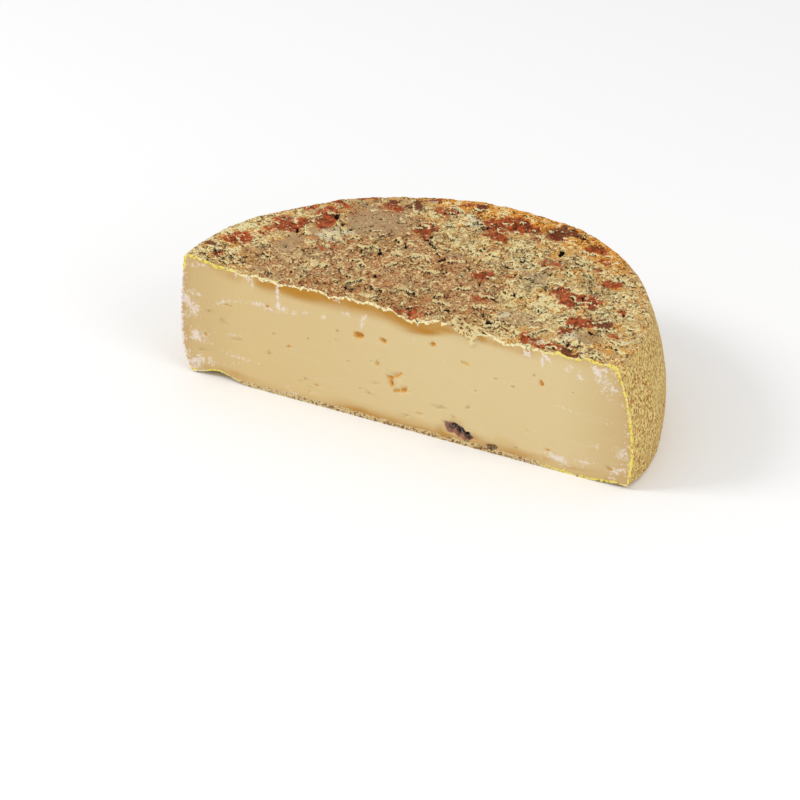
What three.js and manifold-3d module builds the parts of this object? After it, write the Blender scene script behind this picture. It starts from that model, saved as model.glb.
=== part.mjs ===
// Half a wheel of natural-rind mountain cheese, lying on its flat underside.
// The cut face looks along -Y and stands upright, the wheel's round side is at the back,
// and the origin is at the middle of the whole part's box, on the surface it rests on.
// Paste and rind are one solid, because the rind is only the paste's own dried and moulded skin.

import * as THREE from 'three';
import { mergeVertices } from 'three/addons/utils/BufferGeometryUtils.js';
import Module from 'manifold-3d';

// ---- Driving dimensions, in millimetres -------------------------------------------------

const WHEEL_RADIUS = 100.5;      // at the widest part of the side
const WHEEL_HEIGHT = 51;         // at the rim, half way between the tall and the low end
const CUT_BEFORE_AXIS = 8.5;     // the knife passed this far in front of the wheel's axis
const WIDEST_AT = 0.32;          // height of the widest part, as a share of the wheel's height

const TOP_SHOULDER = 2.4;        // rounding where the side meets the top
const BASE_SHOULDER = 3;         // rounding where the side meets the underside
const BULGE_POWER = 2;           // how the side curves in above and below its widest part
const TOP_INSET = 5.4;           // how far the side leans in by the top, on average
const TOP_INSET_SWING = 2.8;     // more than that at the +X end, less at the -X end
const BASE_INSET = 3.4;          // how far the side leans in by the underside, on average
const BASE_INSET_SWING = -1.6;   // less than that at the +X end, more at the -X end

const END_TO_END_FALL = 0.5;     // the top falls by this over one radius along +X
const END_LIP = 1.3;             // and stands up by this at the very -X end
const END_LIP_SPAN = [78, 92];   // how far towards -X the lip starts and is complete
const FLAT_SIDE_DEPTH = 1.8;     // the round side is a little flattened where it leaned
const FLAT_SIDE_AZIMUTH = 32;    // degrees from +X towards +Y
const FLAT_SIDE_SPREAD = 22;     // degrees

// Sunken places in the top, where the wheel settled in store.
const DISHES = [
  { x: -52, y: 4, spreadX: 20, spreadY: 38, depth: 1.5 },
  { x: 46, y: -4, spreadX: 10, spreadY: 22, depth: 1.3 },
];

const SEGMENTS_AROUND = 84;
const STEPS_UP_SIDE = 9;
const STEPS_ROUND_SHOULDER = 4;
const RINGS_ON_TOP = 7;

// Openings in the cut face: place along it, height, width, height and depth of each.
const EYES = [
  { x: -18.7, z: 36.8, width: 5.7, height: 3.6, depth: 2.4 },
  { x: -7, z: 36.8, width: 3.6, height: 3, depth: 2 },
  { x: 15.4, z: 40.5, width: 2.8, height: 2.6, depth: 1.8 },
  { x: 30.1, z: 35.1, width: 4.6, height: 2.6, depth: 1.2 },
  { x: 64.2, z: 36.2, width: 3, height: 3.4, depth: 2 },
];
const TORN_EYES = [
  { x: -2.6, z: 21, width: 7.4, height: 3.6, depth: 2.2 },
  { x: 2, z: 16.6, width: 6, height: 3, depth: 2 },
];
const BASE_PIT = { x: 26.1, z: 5.2, width: 11, height: 6.4, depth: 5 };

// ---- The whole wheel --------------------------------------------------------------------

// Half outline of a plain wheel, from the axis along the underside, up the side and back in.
function wheelOutline() {
  const points = [new THREE.Vector2(0, 0)];
  const flatRadius = WHEEL_RADIUS - BASE_INSET - BASE_SHOULDER;
  points.push(new THREE.Vector2(flatRadius, 0));
  for (let i = 1; i < STEPS_ROUND_SHOULDER; i += 1) {
    const turn = (i / STEPS_ROUND_SHOULDER) * Math.PI / 2;
    points.push(new THREE.Vector2(
      flatRadius + BASE_SHOULDER * Math.sin(turn),
      BASE_SHOULDER * (1 - Math.cos(turn)),
    ));
  }
  const straight = WHEEL_HEIGHT - TOP_SHOULDER - BASE_SHOULDER;
  for (let i = 0; i <= STEPS_UP_SIDE; i += 1) {
    const height = BASE_SHOULDER + straight * (i / STEPS_UP_SIDE);
    points.push(new THREE.Vector2(WHEEL_RADIUS - sideInset(height / WHEEL_HEIGHT, 0.5), height));
  }
  const topEdge = points[points.length - 1].x;
  for (let i = 1; i <= STEPS_ROUND_SHOULDER; i += 1) {
    const turn = (i / STEPS_ROUND_SHOULDER) * Math.PI / 2;
    points.push(new THREE.Vector2(
      topEdge - TOP_SHOULDER * (1 - Math.cos(turn)),
      WHEEL_HEIGHT - TOP_SHOULDER * (1 - Math.sin(turn)),
    ));
  }
  const topRadius = topEdge - TOP_SHOULDER;
  for (let i = RINGS_ON_TOP - 1; i >= 0; i -= 1) {
    points.push(new THREE.Vector2(topRadius * (i / RINGS_ON_TOP), WHEEL_HEIGHT));
  }
  return points;
}

// How far the side leans in at a share of the height. End is 1 at the +X end and 0 at the -X end.
function sideInset(share, end) {
  const swing = 2 * end - 1;
  if (share > WIDEST_AT) {
    const above = (share - WIDEST_AT) / (1 - WIDEST_AT);
    return (TOP_INSET + TOP_INSET_SWING * swing) * above ** BULGE_POWER;
  }
  const below = (WIDEST_AT - share) / WIDEST_AT;
  return (BASE_INSET + BASE_INSET_SWING * swing) * below ** BULGE_POWER;
}

// How far the settled top lies below the plain one.
function topDrop(x, y) {
  const lip = END_LIP * THREE.MathUtils.smoothstep(-x, ...END_LIP_SPAN);
  let drop = END_TO_END_FALL * (x / WHEEL_RADIUS) - lip;
  for (const dish of DISHES) {
    const alongX = (x - dish.x) / dish.spreadX;
    const alongY = (y - dish.y) / dish.spreadY;
    drop += dish.depth * Math.exp(-(alongX ** 2 + alongY ** 2) / 2);
  }
  return drop;
}

// Turns the plain wheel into one that has settled: uneven lean, flattened side, sunken top.
function settle(geometry) {
  const position = geometry.getAttribute('position');
  const point = new THREE.Vector3();
  for (let i = 0; i < position.count; i += 1) {
    point.fromBufferAttribute(position, i);
    const radius = Math.hypot(point.x, point.y);
    const share = point.z / WHEEL_HEIGHT;
    if (radius > 0) {
      const end = (1 + point.x / radius) / 2;
      const azimuth = THREE.MathUtils.radToDeg(Math.atan2(point.y, point.x));
      const fromFlat = (azimuth - FLAT_SIDE_AZIMUTH) / FLAT_SIDE_SPREAD;
      const flattened = FLAT_SIDE_DEPTH * Math.exp(-(fromFlat ** 2));
      const lean = sideInset(share, end) - sideInset(share, 0.5);
      const scale = 1 - (lean + flattened) / WHEEL_RADIUS;
      point.x *= scale;
      point.y *= scale;
    }
    point.z -= share * topDrop(point.x, point.y);
    position.setXYZ(i, point.x, point.y, point.z);
  }
  return geometry;
}

function wholeWheel() {
  const geometry = new THREE.LatheGeometry(wheelOutline(), SEGMENTS_AROUND);
  geometry.rotateX(Math.PI / 2);
  return settle(geometry);
}

// ---- What the knife and the ripening took away ------------------------------------------

function knifeSide() {
  const reach = 3 * WHEEL_RADIUS;
  const geometry = new THREE.BoxGeometry(reach, reach, reach);
  geometry.translate(0, -CUT_BEFORE_AXIS - reach / 2, 0);
  return geometry;
}

// An opening in the cut face: half of a flattened ball, as deep as it is said to be.
function opening({ x, z, width, height, depth }) {
  const geometry = new THREE.SphereGeometry(1, 14, 10);
  geometry.scale(width / 2, depth, height / 2);
  geometry.translate(x, -CUT_BEFORE_AXIS, z);
  return geometry;
}

// ---- Cutting ----------------------------------------------------------------------------

const wasm = await Module();
wasm.setup();

function toSolid(geometry) {
  const bare = geometry.clone();
  bare.deleteAttribute('normal');
  bare.deleteAttribute('uv');
  const merged = mergeVertices(bare, 1e-4);
  return new wasm.Manifold(new wasm.Mesh({
    numProp: 3,
    vertProperties: new Float32Array(merged.getAttribute('position').array),
    triVerts: new Uint32Array(merged.getIndex().array),
  }));
}

function toGeometry(solid) {
  const mesh = solid.getMesh();
  const geometry = new THREE.BufferGeometry();
  geometry.setAttribute('position', new THREE.BufferAttribute(mesh.vertProperties, 3));
  geometry.setIndex(new THREE.BufferAttribute(mesh.triVerts, 1));
  geometry.computeVertexNormals();
  return geometry;
}

function halfWheel() {
  let solid = toSolid(wholeWheel()).subtract(toSolid(knifeSide()));
  for (const hole of [...EYES, ...TORN_EYES, BASE_PIT]) {
    solid = solid.subtract(toSolid(opening(hole)));
  }
  const geometry = toGeometry(solid);
  geometry.computeBoundingBox();
  const middle = geometry.boundingBox.getCenter(new THREE.Vector3());
  return geometry.translate(-middle.x, -middle.y, -geometry.boundingBox.min.z);
}

// ---- The part ---------------------------------------------------------------------------

const cheese = new THREE.MeshStandardMaterial({ color: '#d8b984', roughness: 0.7, metalness: 0 });

const wheel = new THREE.Mesh(halfWheel(), cheese);
wheel.name = 'half_wheel';

const part = new THREE.Group();
part.add(wheel);

export default part;
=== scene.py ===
"""Half a wheel of natural-rind mountain cheese: crusty mouldy rind, pressed paste, and its stage."""

import math
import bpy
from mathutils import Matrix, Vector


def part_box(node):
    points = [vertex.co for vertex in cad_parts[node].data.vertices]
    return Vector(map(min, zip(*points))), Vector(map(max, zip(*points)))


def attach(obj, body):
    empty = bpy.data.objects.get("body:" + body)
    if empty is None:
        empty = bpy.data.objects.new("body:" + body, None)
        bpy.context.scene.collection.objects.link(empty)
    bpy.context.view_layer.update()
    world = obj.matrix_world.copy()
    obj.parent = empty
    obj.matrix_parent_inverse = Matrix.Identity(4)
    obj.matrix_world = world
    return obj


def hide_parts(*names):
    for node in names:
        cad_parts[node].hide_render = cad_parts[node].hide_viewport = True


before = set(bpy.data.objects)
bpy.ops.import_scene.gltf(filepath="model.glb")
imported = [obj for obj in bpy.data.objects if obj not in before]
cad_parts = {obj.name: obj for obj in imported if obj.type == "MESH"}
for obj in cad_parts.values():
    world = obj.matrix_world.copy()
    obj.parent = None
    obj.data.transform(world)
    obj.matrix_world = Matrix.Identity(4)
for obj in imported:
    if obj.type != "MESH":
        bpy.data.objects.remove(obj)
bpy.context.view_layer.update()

from types import SimpleNamespace

import bmesh
import bpy
from bpy.props import FloatProperty, FloatVectorProperty, PointerProperty
from mathutils import Matrix, Vector, noise

bl_info = {
    "name": "Half Cheese Wheel",
    "version": (1, 0, 0),
    "blender": (4, 5, 0),
    "location": "3D View > Sidebar > Cheese",
    "description": "Makes half a natural-rind cheese wheel around its solid, and a plain studio",
    "category": "Object",
}

MM = 0.001

NODE = "half_wheel"
LOW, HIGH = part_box(NODE)

# The wheel's axis stands behind the cut face, so the half is a little more than half a disc.
WHEEL_RADIUS = (HIGH.x - LOW.x) / 2
CUT_BEFORE_AXIS = (HIGH.y - LOW.y) - WHEEL_RADIUS
AXIS_Y = LOW.y + CUT_BEFORE_AXIS
WHEEL_HEIGHT = 51 * MM

FLAT_SIDE_AZIMUTH = 32          # the side leaned here: degrees from +X towards +Y
FLAT_SIDE_SPREAD = 22           # degrees
END_LIP_SPAN = (78, 92)         # how far towards -X the top's lip starts and is complete, in mm
EDGE_SAG_OVAL = (5, -10, 8, 4)  # where the top's cut edge rolls down: x, y, half length, half width
PATCH_REACH = 2.4               # half lengths from its middle at which a patch counts for nothing
LN_2 = 0.693                    # makes a patch half as strong on its own edge
NOISE_SEED = 2                  # noise_vector starts from the clock unless it is given one


def from_hex(code):
    """An sRGB hex colour as the linear red, green, blue and alpha that shaders take."""
    channels = [int(code[i:i + 2], 16) / 255 for i in (1, 3, 5)]
    linear = [c / 12.92 if c <= 0.04045 else ((c + 0.055) / 1.055) ** 2.4 for c in channels]
    return (*linear, 1.0)


# ---- What lies where on the wheel, in millimetres ---------------------------------------
# On the top, x runs along the cut and y away from it, both from the wheel's axis.

# Sunken places: x, y, spread along x, spread along y, depth.
DISHES = (
    (-52, 4, 20, 38, 1.5), (46, -4, 10, 22, 1.3),
)

# Moulds and yeasts of each kind: x, y, half length, half width, turn in degrees, strength.
TOP_PATCHES = {
    "red": (
        (-78, 54, 4, 3, 0, 0.8), (-67, 53, 4, 4, 0, 1), (-64.5, 46, 2.6, 6, 0, 0.9),
        (-75, 36, 6, 6, 40, 1), (-71, 42, 4, 3, 20, 0.8), (-79, 28, 3, 2, 0, 0.8), (-78, 23, 2, 2, 0, 0.6),
        (-84, 15, 5, 5, 20, 0.75), (-97, 3, 1.6, 2, 0, 0.8), (-84, -2, 2, 3, 0, 0.7),
        (-66, 62, 4, 1.6, 10, 0.7), (-60, 71, 3.4, 2, 30, 0.9), (-46, 69, 5, 3.5, -45, 0.8),
        (-36, 84, 3, 2, 30, 0.8), (-20, 87, 5, 2, 0, 0.6), (-25, 58, 3.4, 6, -10, 0.75),
        (-26, 77, 4, 5, 0, 0.6), (-52, 25, 4, 4, 0, 0.35), (-37, 28, 2, 3, 0, 0.4),
        (5, 81, 8, 5.5, 5, 1.05), (-4, 77, 5, 4, 20, 1), (1, 68, 4, 5, 0, 0.75), (5, 66, 2.6, 2, 0, 0.9),
        (22, 79, 5, 2.4, 0, 0.9), (17.5, 72, 2.2, 1.6, -20, 0.8), (43, 76, 4, 4, 0, 0.9),
        (50, 70, 2, 2.6, 0, 0.7), (33, 56, 6, 4, -10, 0.5), (52, 60, 2, 2, 0, 0.7),
        (62.5, 53, 4, 4, 0, 0.9), (54, 34, 5, 4.6, 0, 1), (48, 38, 3, 3.5, 0, 0.7),
        (62.5, 36, 4, 4, 0, 0.95), (14, 34, 5, 3.6, -10, 0.6), (25, 28, 4, 2.4, 0, 0.4),
        (23, 38.5, 3, 2, 0, 0.5), (24, 16, 5, 4, 0, 0.45), (67.5, 17, 5, 4.6, 20, 0.9),
        (64, 8, 3.6, 4, 0, 0.85), (83, 12, 3, 3, 0, 0.6), (54, -2.6, 4.5, 3, -20, 1.1),
        (58.5, -6.5, 3.4, 2.4, -20, 0.9), (66, -3.5, 4, 3, 0, 0.7), (76.5, 34, 1.6, 1.6, 0, 0.7),
        (4, -5, 6, 3, 0, 0.45),
    ),
    "dark": (
        (-92, 4, 3, 1.6, 20, 1), (-40, 77, 2.4, 6.5, 5, 0.9), (-48, 73, 2.4, 2, 0, 0.8),
        (-16, 86, 2.6, 3, 0, 0.9), (6, 84, 4, 2.6, 0, 0.55), (22.5, 84, 5.6, 4.6, 0, 1.1),
        (77, 19, 4, 3.6, 10, 1), (74, -6.2, 4.4, 2.2, 10, 0.9),
    ),
    "grey": (
        (-66, 22, 5.5, 13, 0, 0.75), (-64, 37, 4, 4, 0, 0.8), (-76, 9, 3, 6, 0, 0.5),
        (-45, 55, 14, 11, 0, 1), (33, 43, 6, 8, 0, 0.9), (15, 47, 6, 3.6, 0, 0.7), (45, 10, 10, 5, 5, 1),
        (-4, 43, 4, 3, 0, 0.6), (75, 7, 5, 4.6, 0, 1.2),
    ),
    "pale": (
        (-56, 38, 6, 5.5, -30, 0.95), (-14, 76, 4, 5, 0, 0.9), (-25, 81, 2, 2, 0, 0.7),
        (-36, 83, 2, 3, 20, 0.5), (68, 3, 2.4, 3, 0, 1.1), (58.5, -4.4, 1.8, 1.2, 0, 1),
        (87, 11, 2.4, 2, 0, 0.8), (24, 47, 3, 3, 0, 0.5), (36, 9, 3.4, 3, 0, 0.6),
    ),
    "taupe": (
        (-42, 8, 32, 20, 0, 1.1), (-34, 30, 34, 24, 20, 1), (4, 10, 30, 24, 0, 1),
        (-6, 30, 32, 18, 0, 0.9), (-46, 56, 18, 16, 0, 1), (8, 56, 12, 8, 0, 0.5),
    ),
    "crumb": (
        (44, 22, 22, 18, 0, 0.9), (12, 50, 18, 8, 0, 0.9), (-30, 67, 13, 6, 0, 0.7),
        (-12, 52, 8, 7, 0, 0.7), (34, 4, 12, 12, 0, 0.6), (-20, 38, 20, 8, 0, 0.5),
        (-50, 12, 12, 10, 0, 0.45), (-86, 30, 12, 24, -20, 1.1), (-90, 2, 8, 12, 0, 1.1),
    ),
    "orange": (
        (0, 92, 40, 11, 0, 1.2), (38, 82, 26, 9, -30, 1.1), (-86, 12, 5, 6, 0, 0.9),
        (-80, 27, 3, 3, 0, 0.8), (28, 72, 20, 8, -20, 0.35), (-82, 8, 9, 14, 0, 0.5),
        (-72, 62, 14, 6, 50, 0.5), (-32, 86, 22, 5, 18, 0.5),
    ),
}

# Deep single crevices: x, y, half length, half width, turn in degrees.
CREVICES = (
    (-21.5, 52.5, 2.6, 1.3, 75), (-17, 47.5, 4.6, 0.6, -45), (-30, 60, 2, 0.6, -70),
    (-62, 51.5, 2, 1, -50), (-58, 42, 1.2, 0.6, 60), (-52, 44.5, 1.6, 0.7, 60), (-56, 46, 1.4, 0.6, 70),
    (-53, 40, 1, 0.6, 0), (-25, 41, 1.8, 0.7, -60), (-7, 38, 2.2, 1.1, 40), (-33, 34, 1.8, 0.6, -60),
    (-31, 31.5, 1.2, 0.7, 50), (-39, 30.5, 1.2, 0.6, -50), (-48.5, 33.5, 1.6, 0.5, 10),
    (-69.5, 34, 2.6, 0.7, -60), (-66, 19, 1.4, 0.7, -50), (-23.5, 14, 1.4, 0.6, -60),
    (-29, 1.4, 3.6, 0.6, -8), (-57, 0, 2.2, 0.5, 0), (-74, 3.5, 1.2, 0.8, 60), (-17.5, 2, 2.2, 0.5, 0),
    (-76.5, 58.5, 1.2, 0.9, -40), (-93, 19, 1.4, 0.7, 60), (-1.5, 29.5, 1.6, 0.8, 60),
    (-3, 14, 3.4, 0.6, -5), (-8, 18, 3, 0.6, 20), (31.3, 67.5, 2.8, 1, -80), (38.5, 59, 1.6, 1, 30),
    (44, 58.4, 3, 1, 40), (51.5, 52, 2.6, 0.8, 35), (55, 51.5, 2, 0.5, -65), (54.5, 57.2, 1.6, 0.5, -20),
    (17, 55.5, 1.8, 0.7, -50), (3.2, 54.8, 1.2, 0.7, -50), (10.3, 43, 1.8, 0.6, 75),
    (7.6, 41, 1.3, 0.6, 0), (26, 41.5, 2.4, 0.7, 30), (39.4, 42.5, 1.5, 0.5, -60), (42, 37, 1.3, 0.7, 0),
    (58, 37, 3, 0.5, -60), (14.5, 28.5, 1.6, 0.7, -50), (34, 0.6, 2.6, 1, 60), (38, 5, 3, 0.7, 35),
    (9.5, 12, 1.6, 0.6, -70), (18, 0.6, 4.2, 0.5, 5), (74, 12.2, 1.6, 0.45, 15), (69, 22.2, 1.4, 1, 0),
    (73, 25, 1, 0.8, 0), (79, 31, 1.2, 0.6, -40), (80, 42, 1.6, 0.6, 80), (70, -0.5, 2, 0.5, 80),
    (32.8, 83, 1.2, 0.9, 0), (62, 63.5, 1.8, 0.8, 30), (33, 26, 1.4, 0.6, -40), (6, 30.3, 1.2, 0.5, 0),
    (22, 36, 1.2, 0.6, 20), (-57, 67, 1.2, 0.6, -50), (35.5, 50, 1.2, 0.6, 70), (30, 54, 1.2, 0.6, 60),
)

# The one round crater, where a blob of mould has sunk the rind: x, y, radius.
CRATER = (75, 7, 5.5)

# Where the underside's edge stands clear of the board: x, y, spread, lift.
RAISED_EDGES = (
    (-84, -9, 7, 3.2),
    (94, -9, 7, 1.5),
)

# Openings in the cut face: x, z, width, height, depth, turn in degrees.
EYES = (
    (-18, 35.8, 5.2, 3.2, 2.2, 6), (-7.1, 36.3, 3.3, 2.6, 1.9, -18), (14.6, 40.1, 2.8, 2.1, 1.5, -8),
    (28.7, 35.4, 4.2, 1.4, 0.9, -12), (61.7, 35.7, 1.9, 2.9, 1.5, 18), (42.2, 32.5, 2, 1.1, 0.6, 0),
    (-9.9, 25.8, 1.8, 2.2, 1, 0), (-12.6, 26, 1.5, 0.8, 0.5, 0), (-56.4, 26.9, 1.3, 1.1, 0.7, 0),
    (-49.8, 22.9, 2, 1.6, 0.8, 0), (-58.8, 17.6, 1.6, 1.5, 0.8, 0), (-58.5, 38.3, 1.9, 1.5, 0.9, 0),
    (-85.6, 29.3, 2.3, 1.2, 0.8, 15), (-76.7, 34.2, 4.2, 1.1, 0.6, 0), (-80, 26.5, 3.4, 1.1, 0.6, -40),
    (-73.4, 19.8, 4, 1, 0.6, 8), (-88.2, 18.2, 1.5, 2.4, 0.7, 0), (-90.5, 10.6, 3.2, 0.9, 0.6, 5),
    (-42.6, 10.2, 1.2, 1.5, 0.8, 0), (-44.9, 9, 1.4, 0.9, 0.5, 0), (-37.5, 8.9, 1.6, 1.3, 0.8, 0),
    (-41.1, 7, 0.8, 1, 1, 0), (-40.9, 5.2, 0.8, 1, 1, 0), (-17.7, 12.5, 1.6, 0.9, 0.6, 15),
    (-13.5, 11.8, 1.1, 1, 0.6, 0), (-11, 16.7, 1.6, 0.9, 0.5, 0), (-27.2, 35.4, 1.3, 1.1, 0.6, 0),
    (-28.6, 31.4, 1.6, 0.7, 0.5, 10), (-23, 23.4, 1.4, 0.8, 0.5, 0), (-40.8, 28.5, 1.1, 1.1, 0.5, 0),
    (17.8, 13.7, 1.8, 1.1, 0.9, 0), (23.8, 11, 1.8, 0.8, 0.6, 0), (3.4, 6.4, 1.7, 0.9, 0.5, 0),
    (9, 8.7, 2.4, 1.6, 0.6, 0), (30, 17.2, 0.9, 1.6, 0.5, 0), (33.3, 25.2, 0.9, 0.9, 0.9, 0),
    (58.7, 38.1, 1.1, 1, 0.6, 0), (64.2, 7.9, 2.1, 1.4, 0.9, 0), (50.5, 5.2, 1.6, 0.9, 0.7, 0),
    (90.4, 6.3, 3, 1.4, 1.2, -20), (75, 35.2, 0.8, 1, 0.6, 0), (49.4, 31, 2.4, 0.9, 0.6, -12),
    (55.3, 13.6, 1.3, 0.8, 0.4, 20),
)

# A place where the paste tore under the knife: the same six numbers, and they overlap.
TORN_EYES = (
    (-4.3, 21, 3, 2.4, 1.9, 0), (-3.7, 18.6, 2.4, 3.6, 1.8, 15), (-1.3, 22.4, 4.6, 1.5, 1.5, 38),
    (0.6, 24, 1.4, 1.6, 1.2, 0), (-1.4, 15.9, 3.6, 1.8, 1.8, 22), (1.6, 16.8, 3.8, 2.3, 1.7, 25),
    (2.7, 18.2, 1.3, 1.5, 1, 0),
)

# Rotted places at the foot of the cut face, lined with mould: the same six numbers.
PITS = (
    (22.6, 6.2, 5.4, 4.4, 2.4, -20), (26, 5.6, 5, 4.6, 3.2, -20), (29.6, 4.2, 4.6, 5.2, 4.2, -20),
    (20.8, 7.8, 2.6, 1.8, 1.4, -13), (25.4, 7.6, 7.5, 1.9, 1.9, -17), (39.6, 2.4, 3.6, 3.2, 2.6, -15),
    (41.6, 3.2, 2.4, 2, 1.6, 10), (35.5, 0.8, 6.5, 1.4, 2.2, 8),
)

# Pale smears and scrapes left on the paste: x, z, half length, half width, turn, strength.
SMEARS = (
    (-97.2, 44, 3.2, 1, -70, 0.9), (-98.4, 36, 4.2, 1.1, 85, 0.9), (-98.6, 26, 5, 0.8, 90, 0.5),
    (-94.8, 30, 5.4, 1.8, -62, 1.1), (-92, 36, 1.7, 1, -20, 1), (-92.5, 16.8, 3.6, 2.6, -15, 1.1),
    (-84.5, 31.5, 2.6, 1, 40, 0.8), (-82.5, 33, 2, 1, 20, 0.8), (-79, 35.5, 6, 0.6, 20, 0.7),
    (-73, 37, 4, 0.7, 10, 0.6), (-92.5, 47.5, 2.6, 1, -60, 0.6), (-89.5, 49, 1.6, 1.3, 0, 0.6),
    (-87.4, 49, 1, 1, 0, 0.6), (-73.5, 49, 1, 1.4, 20, 0.8), (-66, 46.5, 0.6, 2.8, 4, 0.8),
    (-68, 48.2, 1.4, 0.9, 0, 0.7), (-54.4, 45, 1, 3.8, 8, 1), (-54.2, 39.8, 1.2, 2.2, 0, 1),
    (-63, 38.2, 2.8, 1.1, 8, 0.9), (-57.6, 37.2, 3, 1, 0, 0.7), (-51.5, 38.5, 2, 1.3, 0, 0.9),
    (-47.5, 38, 1.5, 1.1, 0, 0.9), (-41.8, 39.9, 1.7, 0.9, 35, 0.6), (-33.5, 40.2, 1.8, 1, 25, 0.65),
    (-23.8, 44, 1.6, 1.1, 0, 0.55), (-15.3, 44, 0.8, 2, 0, 0.7), (-16.6, 41, 0.9, 2.2, 0, 0.7),
    (-27.5, 48.5, 1.8, 0.8, 0, 0.6), (-74, 12.4, 9.5, 0.7, -3, 0.7), (-78, 21.6, 8, 0.6, 14, 0.6),
    (-90, 7.2, 5, 2, -10, 0.75), (-94, 4.2, 4, 2.6, -40, 0.95), (-75, 9, 4.5, 0.8, 20, 0.55),
    (-61, 8.6, 1.4, 1.1, 0, 0.45), (-47.2, 2.7, 1.8, 0.9, -20, 0.9), (54.6, 46.6, 1.5, 1, 0, 0.9),
    (45.6, 41.8, 2, 0.6, 20, 0.55), (61.2, 45, 0.5, 3.8, 0, 1), (63.3, 46.4, 2.6, 0.8, -50, 1),
    (71.2, 44, 1.7, 0.7, 10, 0.8), (72.4, 46, 1.7, 0.7, -15, 0.8), (77, 42.3, 1.2, 1, 0, 0.9),
    (76.6, 44.4, 0.8, 0.8, 0, 0.8), (83.5, 46.4, 2.6, 1.4, -50, 1), (86.6, 47.8, 1.7, 0.9, 0, 1),
    (88.6, 41.5, 2.2, 3.2, 20, 0.8), (84.5, 43, 0.9, 2.2, 20, 0.8), (92, 39.2, 3.4, 1.6, -55, 0.95),
    (87, 38.4, 3.2, 0.8, 10, 0.75), (95, 13.6, 2.3, 1.9, 0, 1), (97.2, 16, 1, 2.4, 0, 0.8),
    (98.6, 12, 0.9, 1.4, 0, 1), (93.6, 7.2, 2.6, 1.5, 45, 1), (95.6, 9, 2.2, 1.2, 60, 0.9),
    (92, 4.2, 2.2, 1.5, 0, 0.8), (86.9, 13, 0.9, 3.2, 12, 0.75), (81, 16, 6, 0.5, -6, 0.6),
    (68, 5.4, 3.8, 1, -20, 1), (71.6, 4.6, 1.5, 1.9, 20, 0.9), (78, 6.8, 6, 0.6, 3, 0.7),
    (66.5, 7, 2, 0.6, 10, 0.7), (73, 27.3, 11, 0.5, -7, 0.65), (86, 25.6, 3, 0.8, 0, 0.55),
    (7, 10, 1.2, 0.9, 0, 0.55), (43, 5, 1.5, 0.9, 0, 0.5), (48.5, 32.2, 1.3, 0.6, -10, 0.7),
)

# Where the paste has ripened to amber: x, z, half length, half width, turn, strength.
AMBERS = (
    (-44, 48, 13, 3, 0, 1), (-61.5, 48, 4.5, 2.8, 0, 0.75), (-75, 47.5, 6, 2.8, 0, 0.5),
    (-33, 48.6, 6, 2.4, 0, 0.8), (-18, 48.8, 8, 1.8, 0, 0.75), (-3, 48.2, 9, 2, 0, 0.8),
    (4, 46.6, 6, 1.4, 0, 0.7), (11, 44.8, 7, 1.4, 8, 1.15), (20, 47.6, 8, 1.6, 6, 0.8),
    (35.5, 48, 3.6, 2, -10, 0.9), (43, 47.8, 9, 2.2, 0, 0.6), (53, 47.4, 5, 2.4, 0, 0.55),
    (-74, 4.2, 9, 1.6, -5, 0.6), (-17, 1.2, 11, 2.2, 0, 1), (-6, 1, 12, 1.6, 0, 0.8),
    (8, 0.8, 10, 1.8, 0, 0.9), (18, 3, 2.2, 4, 0, 0.75), (22, 1.6, 4, 1.6, -10, 1),
    (33.5, 4.6, 3, 3, 0, 0.65), (26, 9.6, 7, 1.4, -14, 0.5), (51, 2.8, 8, 2.2, 0, 0.8),
    (46, 6, 5, 3, 0, 0.5), (61, 3.6, 7, 2, 0, 0.6), (77, 3.6, 9, 1, 8, 0.7),
    (-96.5, 22.5, 2.5, 2.5, 0, 0.35),
)


# ---- Settings ---------------------------------------------------------------------------

def length(name, description, default_mm):
    """A length property, given in millimetres and held in metres."""
    return FloatProperty(name=name, description=description, default=default_mm * MM,
                         unit="LENGTH", precision=5)


def colour(name, description, code):
    """A colour property from an sRGB hex code."""
    return FloatVectorProperty(name=name, description=description, default=from_hex(code),
                               subtype="COLOR", size=4, min=0.0, max=1.0)


class WheelSize(bpy.types.PropertyGroup):
    """The plain wheel before its crust, and how it settled in store."""

    radius: FloatProperty(name="Radius", description="Wheel radius at the widest part of its side",
                          default=WHEEL_RADIUS, unit="LENGTH", precision=5)
    height: FloatProperty(name="Height", description="Wheel height at the rim",
                          default=WHEEL_HEIGHT, unit="LENGTH", precision=5)
    cut: FloatProperty(name="Cut before axis", description="How far in front of the axis the knife passed",
                       default=CUT_BEFORE_AXIS, unit="LENGTH", precision=5)
    widest_at: FloatProperty(name="Widest at", description="Height of the widest part, as a share",
                             default=0.32, subtype="FACTOR")
    bulge_power: FloatProperty(name="Bulge power", description="How the side curves in", default=2.0)
    top_shoulder: length("Top shoulder", "Rounding where the side meets the top", 2.4)
    base_shoulder: length("Base shoulder", "Rounding where the side meets the underside", 3.0)
    top_inset: length("Top inset", "How far the side leans in by the top", 5.4)
    top_swing: length("Top inset swing", "More lean than that at the +X end, less at the -X end", 2.8)
    base_inset: length("Base inset", "How far the side leans in by the underside", 3.4)
    base_swing: length("Base inset swing", "More lean than that at the +X end", -1.6)
    fall: length("End to end fall", "The top falls by this over one radius along +X", 0.5)
    end_lip: length("End lip", "The top stands up by this at the very -X end", 1.3)
    flat_side: length("Flat side", "How much the round side is flattened where it leaned", 1.8)
    edge_sag: length("Edge sag", "How far the top's cut edge rolls down near the middle", 3.0)
    spare: length("Spare", "Extra paste left outside the cuts until the knife takes it", 2.5)


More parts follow.
